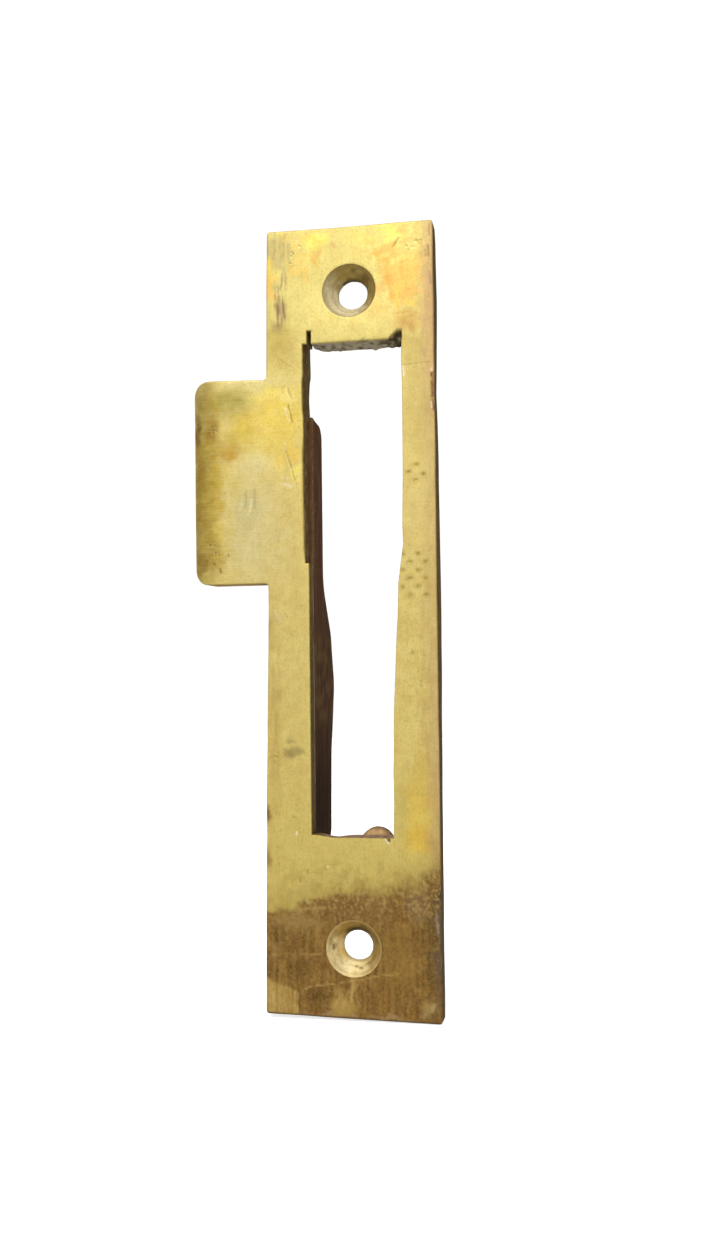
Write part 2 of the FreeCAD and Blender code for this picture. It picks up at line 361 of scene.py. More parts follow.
def lean_of_opening(spots, depth, aside):
    """How far the opening's cut faces stand out of true, in mm: broken top, sawn left side, low edge."""
    u, w = spots[:, 0], spots[:, 1]
    through = depth / PLATE_THICK
    ground = np.column_stack([u, w, depth])
    crumbs = 0.1 * rough(ground, 1.7, 11) + 0.07 * rough(ground, 0.5, 12)
    ragged = 0.8 * np.maximum(w - 40.6, 0) * through ** 0.8 + crumbs * (0.25 + through)
    for tab_u, tab_reach in ((-2.0, 0.12), (3.4, 0.25), (6.3, 0.2), (7.2, 0.3)):
        ragged += tab_reach * np.exp(-((u - tab_u) / 0.4) ** 2) * through
    ragged += 0.2 * through
    down = ragged * (w > OPENING_HIGH) * smooth(u, -6.1, -4.4)
    sill = 0.1 * band(u, -4.0, -2.8, 1.0) - 0.2 * smooth(u, -2.6, 0.2)
    down = down + through * (w < OPENING_LOW) * sill
    down = down - 0.38 * (1 - smooth(u, -6.0, -2.5)) * (1 - smooth(w, -33.1, -31.5))
    sawn = 0.62 * through + (0.05 + 0.1 * through) * rough(ground, 2.4, 3)
    sawn = sawn - 0.17 * band(w, 31, 35, 1.5)
    across = sawn * np.clip((-6.15 - u) / 1.25, 0, 1) * smooth(w, 28, 31)
    across = across - np.interp(w, *RIGHT_BOW) * (u > 5.5) * (w < 41)
    return aside * (0.02 * rough(ground, 1.1, 5))[:, None] + np.column_stack([across, -down])


def opening_outline(loop):
    """The long opening: crisp below, with a worn rounded edge along the latch's left side."""
    points = walk_finely(loop, 0.2)
    w = points[:, 1]
    worn = (points[:, 0] < -6.9) & (w < 30)
    front_round = np.where(worn, 0.12 + 0.4 * band(w, 10, 24, 3), 0.12)
    rows = np.linspace(0.55, PLATE_THICK - 0.25, 8)
    return Outline(points, rows, front_round, 0.1, lean_of_opening)


def hole_shift(height, depth):
    """How far a screw hole strays from its true axis: each sink and bore were cut a little apart."""
    sink, bore = ((-0.1, -0.22), (0.1, -0.12)) if height > 0 else ((0, 0), (0.27, 0.08))
    share = np.minimum(depth / BORE_STARTS, 1)
    return np.outer(1 - share, sink) + np.outer(share, bore)


def screw_outline(loop):
    """A sunk screw hole: a true circle at the front, a cone, then a short plain bore."""
    centre = loop.mean(0)
    drilled_wide = 0.09 if centre[1] > 0 else 0
    turns = -np.linspace(0, 2 * math.pi, 120, endpoint=False)
    circle = np.column_stack([np.cos(turns), np.sin(turns)])

    def push(spots, depth, aside):
        cut = np.minimum(depth, BORE_STARTS) * SINK_SLOPE
        chatter = 0.035 * rough(np.column_stack([spots, depth]), 0.8, centre[1])
        inward = cut + chatter * smooth(depth, 0.05, 0.4) - drilled_wide * smooth(depth, 1, BORE_STARTS)
        return aside * inward[:, None] + hole_shift(centre[1], depth)

    rows = np.concatenate([np.linspace(0.2, BORE_STARTS, 9), np.linspace(BORE_STARTS + 0.15, 3.0, 4)])
    return Outline(centre + circle * SINK_RADIUS, rows, 0.07, 0.1, push)


# How far the hand-filed sides stand outside straight lines: heights, then mm outward at each.
LEFT_SIDE = ((-59, -40, -33, -27, -18, -8, 0, 5, 36, 50, 59),
             (0.43, 0.4, 0.32, 0.38, 0.22, 0.12, 0.04, 0.08, 0.34, 0.31, 0.2))
RIGHT_SIDE_FRONT = ((-59, -30, 0, 59), (0.15, 0.12, 0.05, 0.05))
RIGHT_SIDE_BACK = ((-59, -17, -8, 5, 28, 33, 37, 47, 56, 59),
                   (0.2, 0.27, 0.37, 0.35, 0.18, 0.0, 0.1, 0.26, 0.16, 0.0))


def stray_of_rim(spots, depth):
    """How far the outer edge strays from its CAD outline: uneven sides, and a lip a little askew."""
    u, w = spots[:, 0], spots[:, 1]
    through = depth / PLATE_THICK
    front, back = np.interp(w, *RIGHT_SIDE_FRONT), np.interp(w, *RIGHT_SIDE_BACK)
    right = (front + (back - front) * through) * smooth(u, 9, 12.7)
    left = np.interp(w, *LEFT_SIDE) * smooth(-u, 9, 12.7) * (1 - smooth(-u, 12.8, 16))
    lip_end = 0.018 * (w - 17.5) * smooth(-u, 21, 24.5)
    lip_top = np.clip(0.12 + 0.028 * (-14 - u), 0, 0.34) * smooth(-u, 12.9, 15) * smooth(w, 25, 35)
    plate_top = 0.14 * smooth(w, 50, 58.5) * np.clip((-5 - u) / 7, 0, 1)
    return np.column_stack([right - left - lip_end, lip_top + plate_top])


def rim_outline(loop):
    """The plate's outer edge, lip included: slightly wavy, its front arris rubbed round."""
    points = walk_finely(loop, 0.3)
    front_round = 0.2 + 0.08 * rough(points, 6, 2)
    rows = np.linspace(0.5, PLATE_THICK - 0.4, 6)

    def push(spots, depth, aside):
        wavy = 0.05 * rough(np.column_stack([spots, depth]), 7, 8) - 0.03
        return aside * wavy[:, None] + stray_of_rim(spots, depth)

    return Outline(points, rows, front_round, 0.15, push)


def vice_marks():
    """Staggered rows of jaw marks on the right strip, with a stray few above."""
    marks = []
    for row in range(6):
        shift = 1.15 if row % 2 else 0
        for column in range(2):
            marks.append((7.62 + 2.3 * column + shift, 8.45 - 1.22 * row))
    marks += [(8.8, 20.6), (9.8, 19.3), (10.9, 20.2), (9.9, 21.7), (8.9, -6.1)]
    return marks


def pits():
    """Small pits scattered in clusters, the same on every run."""
    draw = np.random.default_rng(7)
    clusters = [((-8.6, -29.5), 1.3, 7), ((-10.3, -21), 1.4, 9), ((-7.2, -38.5), 1.0, 3),
                ((-20.6, 9), 1.3, 9), ((-21.5, 28.5), 0.8, 6), ((-9.5, 0), 2.4, 5), ((-11, -36), 1.5, 4),
                ((8.5, -12), 2.5, 4), ((7.5, -38.4), 1.6, 5), ((10, 55), 2.0, 5), ((-9, 56), 2.0, 5)]
    places = []
    for centre, spread, count in clusters:
        places += [tuple(place) for place in centre + spread * draw.normal(0, 0.6, (count, 2))]
    return places


JAW_MARKS = vice_marks()
PITS = pits()
GOUGES = [((-9.5, 31.6), (-8.95, 29.1)), ((-9.8, 34.2), (-9.4, 32.9)), ((-10.1, 25.2), (-8.5, 19.7))]


def along_line(spots, start, end):
    """Distance from a line between two places, and the share of the way along it."""
    start, end = np.array(start), np.array(end)
    run = end - start
    share = np.clip(((spots - start) @ run) / (run @ run), 0, 1)
    return np.linalg.norm(spots - start - share[:, None] * run, axis=1), share


def plate_relief(spots):
    """How far the show face is sunk: hand-filed waviness, jaw marks, pits and gouges."""
    sunk = 0.035 * rough(spots * (1, 0.35), 7) + 0.012 * rough(spots * (1, 0.5), 1.8, 4)
    for place in JAW_MARKS:
        reach = np.linalg.norm((spots - place) * (1, 1.5), axis=1)
        sunk += 0.035 * np.exp(-(reach / 0.35) ** 2)
    for place in PITS:
        sunk += 0.05 * np.exp(-(np.linalg.norm(spots - place, axis=1) / 0.15) ** 2)
    for start, end in GOUGES:
        away, share = along_line(spots, start, end)
        sunk += 0.04 * np.exp(-(away / 0.12) ** 2) * np.sin(math.pi * np.clip(share, 0.03, 0.97))
    nick = along_line(spots, (5.1, -32.8), (5.3, -33.5))[0]
    burr = along_line(spots, (4.75, -33.2), (5.2, -33.75))[0]
    return sunk + 0.35 * np.exp(-(nick / 0.14) ** 2) - 0.1 * np.exp(-(burr / 0.14) ** 2)


# ---- the plate's colours

# Stains on the show face: colour, middle (u, w), half size (u, w) and strength.
FACE_STAINS = [
    # around the top screw hole
    ("F2E08C", (0, 46.5), (8.5, 4.5), 0.7),
    ("C2B26A", (-11.1, 55.8), (2.4, 3.2), 0.75),
    ("C4B65E", (-11.4, 42.2), (2.4, 2.6), 0.7),
    ("EFD05A", (-12.5, 52.6), (1.3, 2), 0.85),
    ("EBB95A", (-12.3, 49.8), (1, 2.3), 0.8),
    ("F8E672", (-5.3, 57), (2, 1.6), 0.9),
    ("D8B05A", (-5, 54.3), (0.9, 1.7), 0.9),
    ("EBC468", (-7.6, 53.4), (1.2, 1.9), 0.5),
    ("F8E672", (6.4, 57), (2.1, 1.8), 0.9),
    ("F4DA70", (2, 56.8), (2.6, 1.2), 0.5),
    ("F1C05E", (5, 53.6), (2.4, 1), 0.6),
    ("F3C664", (8.4, 50.2), (2.4, 4.6), 0.9),
    ("E8AE50", (6.1, 50.4), (0.55, 3.2), 0.65),
    ("F0BC58", (10.6, 52.6), (1.1, 2.6), 0.5),
    ("FAD868", (9.5, 46.3), (1.2, 0.8), 0.85),
    ("FAD868", (7.3, 47.2), (0.6, 1.6), 0.7),
    ("CBA058", (9, 43.4), (2.4, 1.8), 0.85),
    ("C89868", (-2.5, 55.9), (0.9, 0.55), 0.7),
    ("D6B080", (11.9, 49), (1.2, 8), 0.5),
    ("C3AA62", (-10.4, 40.5), (2.8, 3.3), 0.75),
    ("BDA65C", (9.8, 39.6), (2.5, 2.8), 0.6),
    ("C6AE6C", (10.4, 31.5), (2.6, 9), 0.6),
    # the lip
    ("E6D896", (-15.5, 35.4), (8, 1.1), 1),
    ("F4E07A", (-12, 33.3), (5, 0.8), 0.75),
    ("A6A272", (-15.9, 13.3), (0.9, 0.8), 0.5),
    ("AA9E4E", (-18.9, 32.4), (4.2, 2.5), 1),
    ("EDD25E", (-11.4, 30.2), (4.6, 4.6), 1),
    ("EACF5C", (-11.6, 26), (4.2, 3.6), 0.7),
    ("EFE09A", (-9.8, 33.2), (1.6, 1.4), 0.5),
    ("E0C44C", (-16.4, 28.4), (2.4, 3), 1),
    ("D0AE44", (-16, 31), (1, 1.2), 0.5),
    ("C49C3C", (-18.8, 24.8), (2.4, 1.7), 0.95),
    ("EADC9C", (-14.8, 22.8), (3.6, 1.9), 0.9),
    ("D9CD92", (-15.4, 13.2), (4.5, 9.2), 1),
    ("DCCB84", (-11, 11), (3, 7), 0.6),
    ("B89C36", (-22.3, 20), (2.5, 18.5), 1),
    ("A0802A", (-24.3, 20), (1, 18), 0.8),
    ("84602A", (-24.2, 28.4), (1, 2.8), 0.9),
    ("9E7C40", (-23.4, 32.8), (1, 1.3), 0.5),
    ("9A7638", (-21.5, 28.6), (1.1, 2.1), 0.9),
    ("A87E34", (-23.3, 21.6), (1, 2.2), 0.5),
    ("946E28", (-23.8, 7.6), (1.3, 2.6), 0.8),
    ("B09444", (-20.9, 8.6), (1.9, 2.6), 0.8),
    ("E0C048", (-20.4, 13.2), (0.7, 2.6), 0.6),
    ("CDAE42", (-20.6, 19), (0.7, 4), 0.7),
    ("C8B24A", (-18.4, 27), (1.6, 1.4), 0.7),
    ("DCC87C", (-19.6, 29.8), (1.2, 1), 0.7),
    ("F0D46E", (-10.8, 23), (0.8, 1.9), 0.85),
    ("F2CE5C", (-8.8, 24.3), (0.9, 1.8), 0.9),
    ("FAE878", (-8.4, 21.2), (0.8, 1.4), 1),
    ("EEDFA8", (-9.9, 19.5), (1.5, 0.6), 0.6),
    ("C4BC86", (-15.7, 15.5), (2.2, 3.6), 0.35),
    # the strips beside the opening
    ("E6CF84", (-9.8, 3.5), (2.6, 3.4), 0.5),
    ("E4CF8A", (9.6, 14.5), (1.9, 5.5), 0.6),
    ("A68A54", (-12.7, -2), (0.6, 1.6), 0.75),
    ("F3E6C0", (-11.4, -0.4), (0.6, 0.5), 0.6),
    ("84704A", (-8.9, -20.6), (1.5, 1), 0.75),
    ("84704A", (-9.2, -18.9), (0.6, 0.4), 0.6),
    ("C6AE62", (-11.6, -20), (1, 12), 0.4),
    ("5E3E1C", (-12.8, -29.6), (1.1, 1.5), 1),
    ("8E6A34", (-12.7, -36.2), (1, 1.8), 0.9),
    ("E2C458", (9.9, -29.6), (2.7, 6.6), 0.9),
    ("E8C244", (9.8, -33.2), (2, 2.4), 0.8),
    ("DDB850", (10.3, -22), (1.4, 5), 0.4),
    ("C6BC6E", (7, -28), (0.8, 5), 0.6),
]
# The same for patches that break up into upright streaks.
STREAKED_STAINS = [
    ("B4A67C", (-10.8, 56), (2.3, 3.6), 0.75),
    ("8A6E58", (-11, 46.6), (1.3, 4), 1),
    ("A08868", (-10.4, 50.6), (0.6, 3), 0.7),
    ("C9A878", (11.9, 45), (1.1, 12), 0.7),
    ("B89C58", (-11.8, -12), (1.2, 16), 0.5),
    ("B89C58", (11.2, -10), (1.4, 18), 0.4),
]
# Scattered small patches: colour, middle and half size of the area they lie in, their size, strength.
ISLANDS = [
    ("F0B462", (7.5, 52), (7.5, 8), 1.3, 0.55),
    ("FFF08C", (7, 55), (7, 5), 1, 0.4),
    ("EBC05A", (-7.5, 54.5), (6, 5), 1.1, 0.5),
    ("C0A070", (10, 41), (3.5, 7), 0.9, 0.35),
    ("BFA65A", (-10, 40), (4, 5), 1.2, 0.35),
    ("A88A2E", (-22.5, 20), (3, 19), 1.1, 0.4),
    ("D2B848", (-20, 18), (3.5, 16), 1.3, 0.35),
    ("F6E08A", (-12, 29), (6, 6), 1.2, 0.3),
    ("E9DCA6", (-13, 12), (5, 8), 1.4, 0.3),
    ("CDB468", (-10, -5), (4, 34), 1.5, 0.35),
    ("E4D08A", (9.5, 0), (4, 24), 1.2, 0.3),
    ("C8AC58", (9.5, -10), (4, 28), 1.6, 0.3),
    ("A8924C", (0, -39.5), (13, 4), 1.2, 0.4),
]
# Fine marks on the show face, some of them painted shade and highlights on the gouges, a nick and its burr:
# colour, start and end (u, w), half width and strength.
FINE_MARKS_AND_PAINTED_LIGHT = [
    ("A4A070", (-16.25, 16.3), (-16.15, 18.6), 0.22, 0.5),
    ("A4A070", (-14.85, 16.2), (-14.8, 18.9), 0.2, 0.45),
    ("F4ECC0", (-15.6, 15.6), (-15.3, 17.4), 0.15, 0.6),
    ("F4ECC0", (-17.1, 15.8), (-16.8, 17), 0.15, 0.5),
    ("5E4A1A", (-20.2, 6.9), (-20.1, 6.6), 0.2, 0.95),
    ("6E5A24", (-21.9, 10.8), (-21.8, 10.6), 0.16, 0.8),
    ("6E5A24", (-20.9, 9.5), (-20.8, 9.3), 0.16, 0.8),
    ("6E5A24", (-22.4, 8.4), (-22.3, 8.2), 0.16, 0.8),
    ("6E5A24", (-21.2, 7.9), (-21, 7.8), 0.16, 0.8),
    ("7A6428", (-19, 9.1), (-18.9, 8.9), 0.14, 0.7),
    ("7A6428", (-22.7, 6.9), (-22.6, 6.6), 0.16, 0.8),
    # The next eight: painted shade in the gouges and painted highlights on their lit edges.
    ("6E5E2C", (-9.55, 31.8), (-8.9, 29), 0.1, 0.7),
    ("FBF2CC", (-10.1, 31.4), (-9.4, 29.2), 0.12, 0.6),
    ("94823C", (-9.6, 34.6), (-9.1, 32.9), 0.1, 0.5),
    ("F4E8B8", (-10.2, 26.2), (-9.9, 24.6), 0.12, 0.5),
    ("96803A", (-9.9, 24.6), (-9.1, 22.2), 0.1, 0.5),
    ("84703A", (-8.9, 21.5), (-8.3, 19.6), 0.1, 0.5),
    ("F8EECC", (-10.3, 19.7), (-9, 19.2), 0.14, 0.5),
    ("F8EED0", (-10.6, 20.8), (-9.6, 20.5), 0.14, 0.6),
    ("C8B050", (-11, 14.4), (-9.2, 15.2), 0.12, 0.4),
    ("A08A48", (8.1, 36.8), (12, 37.1), 0.12, 0.5),
    ("7A4434", (12.4, 35.4), (12.45, 31.8), 0.26, 0.95),
    ("7A4434", (12.45, 31.2), (12.5, 30), 0.2, 0.95),
    ("F6E4C4", (12.3, 36.4), (12.35, 35.8), 0.18, 0.8),
    ("F6E4C4", (12.25, 31), (12.3, 30.2), 0.13, 0.8),
    ("E4B04E", (4.2, 54.2), (5.6, 52.8), 0.4, 0.35),
    ("E4B04E", (5.6, 52.8), (6, 50), 0.4, 0.35),
    ("E4B04E", (6, 50), (6.5, 47.2), 0.4, 0.35),
    ("E0AC50", (6.5, 47.2), (7.3, 45.6), 0.4, 0.35),
    ("CF9C48", (7.2, 44.8), (9, 44.9), 0.22, 0.5),
    ("8C7454", (12.25, 58.2), (12.2, 56.4), 0.14, 0.7),
    ("7E6A50", (12, 54.8), (12.1, 53.2), 0.18, 0.7),
    ("8C7658", (11.6, 54.2), (11.65, 53.2), 0.13, 0.6),
    ("8E7860", (12.3, 50.8), (12.35, 49), 0.14, 0.6),
    ("7E745A", (2, 40.7), (2.2, 41.1), 0.3, 0.85),
    ("FFF2DC", (8.05, 36.6), (8.15, 35.2), 0.14, 0.8),
    ("A07C3C", (-11.2, 39), (-9, 37.6), 0.12, 0.35),
    # Painted shade in the nick, and a painted highlight on its raised burr.
    ("4E2E26", (5.1, -32.8), (5.3, -33.5), 0.15, 0.95),
    ("FFF8DC", (4.75, -33.2), (5.15, -33.75), 0.13, 0.95),
    ("FFF4C8", (-8.5, -32.4), (-8.4, -32.7), 0.16, 0.9),
    ("FFF0B8", (-3.8, -37.2), (-3.7, -37.4), 0.14, 0.6),
    ("6A5224", (-6.75, -37.8), (-6.7, -38.3), 0.13, 0.8),
    ("6A5224", (-7.9, -39.2), (-7.9, -39.5), 0.12, 0.7),
    ("9A8468", (-11, 48.5), (-10.5, 44.6), 0.25, 0.7),
    ("8A7864", (-10.3, 53), (-10.9, 48), 0.12, 0.5),
    ("7E6C58", (-11.6, 49), (-11.2, 45.2), 0.1, 0.6),
    ("9A8E72", (-11.6, 57.5), (-11.8, 54.5), 0.2, 0.5),
    ("9A8E72", (-10.2, 57.8), (-10.3, 55), 0.2, 0.5),
    ("A0803C", (-9, -55.8), (-8.6, -53), 0.15, 0.5),
    ("A8823C", (7.6, 56.3), (6.7, 55), 0.17, 0.75),
    ("B08C48", (10.3, 55.8), (10.9, 55.2), 0.25, 0.5),
]
# The same for marks left by the tool in the bottom sink, and painted highlights on its lower left slope.
SINK_MARKS_AND_HIGHLIGHTS = [
    ("4A3414", (-3.1, -48.7), (-3.1, -49.2), 0.2, 0.9),
    ("6A4E20", (-3.5, -47.6), (-3.3, -48.6), 0.14, 0.5),
    ("5A401E", (0, -51.8), (1.1, -52), 0.1, 0.85),
    ("6A5024", (1.5, -51.6), (2.1, -51.1), 0.1, 0.6),
    # The last two are painted highlights where the sink's lower left slope faces the light.
    ("F4CE58", (-2.1, -49.6), (-1.7, -50.4), 0.4, 0.6),
    ("FFF6CC", (-1.7, -51.5), (-0.5, -52.2), 0.35, 0.6),
]
# Patches inside the tarnished lower end.
TARNISH_STAINS = [
    ("7E5C38", (0, -43), (6.5, 2.6), 0.7),
    ("63421F", (-0.5, -42.6), (1.6, 0.9), 0.6),
    ("A88A54", (-9, -45.4), (4.4, 1.4), 0.6),
    ("7C6248", (9.6, -42.4), (2.4, 3), 0.7),
    ("B09250", (-1.4, -57.4), (2.8, 1.4), 1),
    ("B49454", (-2.2, -55.8), (0.5, 1.6), 0.9),
    ("B49454", (-0.2, -55.2), (0.4, 2), 0.9),
    ("BCA468", (10.9, -57), (1.1, 1.5), 0.7),
    ("B89A70", (0, -58.9), (11, 0.5), 0.7),
    ("9A7C48", (-12.2, -50), (0.9, 1.6), 0.6),
    ("5E3F1A", (-7.8, -52.2), (2, 2), 0.7),
    ("54341A", (-6.3, -55.9), (1.4, 0.8), 0.85),
    ("8E6A30", (6.6, -50), (3, 6), 0.5),
    ("4E3820", (11.2, -48.5), (0.8, 11), 0.6),
    ("5C4A3E", (12.4, -48), (0.8, 11), 0.95),
    ("4A3C30", (12.2, -41.5), (0.5, 2), 0.7),
]
# Where the tarnish ends: places across the plate, and its height at each.
TARNISH_U = (-13.0, -9.0, -5.0, 0.0, 3.0, 6.0, 10.0, 12.7)
TARNISH_W = (-43.9, -43.2, -41.7, -40.8, -40.9, -40.0, -39.1, -36.8)
# Fine marks inside the tarnished lower end.
TARNISH_MARKS = [
    ("C4A868", (-8, -55), (6.4, -52.3), 0.1, 0.7),
    ("C4A868", (-12.2, -50.2), (-4.8, -50), 0.1, 0.5),
    ("CBB074", (-0.2, -53.3), (-0.3, -56.4), 0.13, 0.8),
    ("C6AA68", (-0.9, -55.2), (-1.7, -57.4), 0.15, 0.7),
    ("C6AA68", (-1.8, -55.6), (-3.3, -57.6), 0.15, 0.7),
    ("C0A468", (0.3, -55.6), (0.9, -57.2), 0.13, 0.6),
    ("C4A868", (-9.6, -43.7), (-4.6, -43.3), 0.3, 0.5),
    ("CDB478", (-8.3, -55.3), (-8.5, -58.2), 0.15, 0.6),
    ("9A8C88", (12.2, -44.2), (12.3, -46.6), 0.17, 0.9),
    ("CDBA84", (11.7, -56.6), (11.3, -57.4), 0.3, 0.6),
    ("B8A47C", (10.5, -58), (9.8, -58.2), 0.25, 0.4),
    ("523418", (-5, -55.7), (-4, -56.3), 0.55, 0.7),
]
LIP_HIGH, LIP_LOW = 36.0, 4.5


def stain(spots, middle, half):
    """Share from 0 to 1 of a patch with a soft edge."""
    return 1 - smooth(np.linalg.norm((spots - middle) / half, axis=1), 0.3, 1.3)


def mix(base, other, share):
    """The base colours with a share of another one, given as hex text or as an array."""
    other = colour(other) if isinstance(other, str) else other
    return base + (other - base) * np.asarray(share)[:, None]


def between(first, second, share):
    """Colours from one hex colour to another."""
    return mix(np.tile(colour(first), (len(share), 1)), second, share)


def add_stains(tint, spots, stains, share=1.0):
    for text, middle, half, strength in stains:
        tint = mix(tint, text, share * strength * stain(spots, middle, half))
    return tint


def add_marks(tint, spots, marks, share=1.0):
    for text, start, end, half_width, strength in marks:
        away = along_line(spots, start, end)[0]
        tint = mix(tint, text, strength * share * np.exp(-(away / half_width) ** 2))
    return tint


def stir(spots):
    """The same places pushed about, so that a plain shape read at them has an uneven edge."""
    wide = np.column_stack([rough(spots, 2.2, 21), rough(spots, 2.2, 23)])
    fine = np.column_stack([rough(spots, 0.6, 22), rough(spots, 0.6, 24)])
    return spots + 0.9 * wide + 0.35 * fine


def paint_tarnish(spots, stirred):
    """The brown lower end: streaked upright, patched, scratched, and lacy near its upper edge."""
    streaks = rough(spots * (1, 0.1), 0.45, 31) + 0.7 * rough(spots * (1, 0.35), 0.25, 32)
    brown = between("563818", "A07A40", smooth(streaks, -0.9, 1.0))
    brown = mix(brown, "6E4226", 0.6 * smooth(rough(stirred, 2.6, 35), -0.1, 0.5))
    leaning = stirred + 0.3 * streaks[:, None]
    brown = add_stains(brown, leaning, TARNISH_STAINS)
    threads = 1 - smooth(np.abs(rough(stirred, 0.75, 33)), 0.0, 0.14)
    near_edge = 1 - smooth(-spots[:, 1], 41, 47)
    brown = mix(brown, "BCA064", 0.7 * threads * (0.3 + 0.7 * near_edge))
    loose = spots + 0.35 * (stirred - spots)
    cleaner = 1 - smooth(loose[:, 0], -8.7, -8.2)
    cleaner *= 1 - smooth(loose[:, 1] + 53.9 + 0.38 * (loose[:, 0] + 12.1), -0.4, 0.3)
    brown = mix(brown, between("A48444", "CDB26E", smooth(streaks, -0.9, 0.9)), 0.85 * cleaner)
    broken = smooth(rough(spots, 0.9, 34), -0.8, 0.0)
    wavy = spots + 0.16 * (stirred - spots)
    return add_marks(brown, wavy, TARNISH_MARKS, broken)


def islands(spots, size, seed):
    """Share from 0 to 1 of scattered patches with fairly crisp, uneven borders."""
    return smooth(rough(spots, size, seed) + 0.5 * rough(spots, size / 3, seed + 1), -0.05, 0.3)


def paint_face(spots):
    """Colour and dullness of the show face."""
    stirred = stir(spots)
    height = stirred[:, 1]
    tint = between("D7C472", "E1CE80", smooth(height, -40, -5))
    tint = mix(tint, "DCCE80", smooth(height, 20, 50))
    patchy = 0.82 + 0.3 * rough(spots, 0.9, 27)
    tint = add_stains(tint, stirred, FACE_STAINS, patchy)
    streaky = smooth(rough(spots * (1, 0.16), 0.42, 28), -0.35, 0.35)
    tint = add_stains(tint, stirred, STREAKED_STAINS, streaky)
    for text, middle, half, size, strength in ISLANDS:
        share = strength * stain(spots, middle, half) * islands(stirred, size, middle[0])
        tint = mix(tint, text, share)
    margin = smooth(spots[:, 0] + 0.9 * rough(spots * (1, 0.4), 1.4, 29), 9.6, 13.0)
    margin = margin * (0.45 + 0.2 * smooth(np.abs(spots[:, 1] - 5), 10, 40))
    tint = mix(tint, "BD9A74", margin)
    wavy = spots + 0.16 * (stirred - spots)
    broken = smooth(rough(spots, 0.7, 92), -0.75, -0.1)
    tint = add_marks(tint, wavy, FINE_MARKS_AND_PAINTED_LIGHT, broken)
    for places, size, strength in ((JAW_MARKS, (0.44, 0.34), 0.75), (PITS, (0.25, 0.25), 0.2)):
        for place in places:
            reach = np.linalg.norm((wavy - place) / size, axis=1)
            tint = mix(tint, "927E30", strength * broken * np.exp(-reach ** 2))
    dull = 0.25 + 0.12 * rough(spots, 2.6, 25)

    edge = np.interp(spots[:, 0], TARNISH_U, TARNISH_W)
    above = stirred[:, 1] - edge + 0.9 * rough(spots * (1, 0.6), 0.55, 26)
    haze = 1 - smooth(above, -0.5, 5.0)
    tint = mix(tint, "AE9850", 0.6 * haze)
    tarnished = 1 - smooth(above / (0.6 + 1.3 * smooth(spots[:, 0], -3, 5)), -1.2, 0.9)
    tint = mix(tint, paint_tarnish(spots, stirred), 0.96 * tarnished)
    # Painted shade: a dark line along the rounded low edge, where it turns away from the light.
    low_edge = -PLATE_HALF_LENGTH - END_SKEW * (spots[:, 0] / PLATE_HALF_WIDTH + 1) / 2
    tint = mix(tint, "40342A", 0.9 * (1 - smooth(spots[:, 1] - low_edge, 0.12, 0.4)))
    return tint, dull + 0.4 * tarnished


def paint_screw_hole(spots, depth, tint, dull):
    """The top sink is dull olive and the bottom one freshly scraped; both carry painted light on the cone's
    lower left and painted shade at its upper right.
    """
    for side, (shade, light) in ((1, ("A8955A", "F2E8C0")), (-1, ("B09454", "FCEBB4"))):
        out = spots - (0, side * SCREW_HEIGHT) - hole_shift(side, depth)
        reach = np.linalg.norm(out, axis=1)
        here = reach < np.maximum(SINK_RADIUS - depth * SINK_SLOPE, SCREW_HOLE_RADIUS) + 0.15
        here &= (depth > 0.03) & (depth < PLATE_THICK - 0.05)
        # Painted light and shade: the cone is painted lighter where it faces the lower left and darker
        # towards the upper right, as if lit from above.
        shaded = out @ (0.6, 0.8) / np.maximum(reach, 0.1)
        swirl = 0.5 * rough(np.column_stack([spots, depth]), 0.9, 41)
        cone = between(shade, light, smooth(-shaded + swirl, -0.5, 0.9))
        rings = smooth(np.sin(reach * 9 + 3 * swirl), 0.2, 1.0)
        cone = mix(cone, "7A6430", 0.3 * rings * (1 - smooth(depth, 1.8, 2.2)))
        # Painted shade, broken into blots, deepening the darker upper right.
        blots = smooth(shaded + 2 * swirl, 0.6, 1.2) * smooth(depth, 0.3, 0.9)
        cone = mix(cone, "5A4418", 0.6 * blots)
        top = out[:, 1] / np.maximum(reach, 0.1)
        # Painted shade deep in the upper side of the bore.
        bore_top_shade = smooth(depth, 1.9, 2.4) if side > 0 else smooth(depth, 1.25, 1.7)
        cone = mix(cone, "3E3A24", 0.9 * bore_top_shade * smooth(top + 0.4 * swirl, 0.6, 0.9))
        # A ring round the rim: a painted highlight on the bottom sink, a darker ring on the top one.
        rim_ring_and_highlight = "8A7548" if side > 0 else "D8C48C"
        cone = mix(cone, rim_ring_and_highlight, 0.6 * (1 - smooth(depth, 0.1, 0.35)))
        cone = add_marks(cone, spots, SINK_MARKS_AND_HIGHLIGHTS)
        tint = np.where(here[:, None], cone, tint)
        dull = np.where(here, 0.45 if side > 0 else 0.25, dull)
    return tint, dull


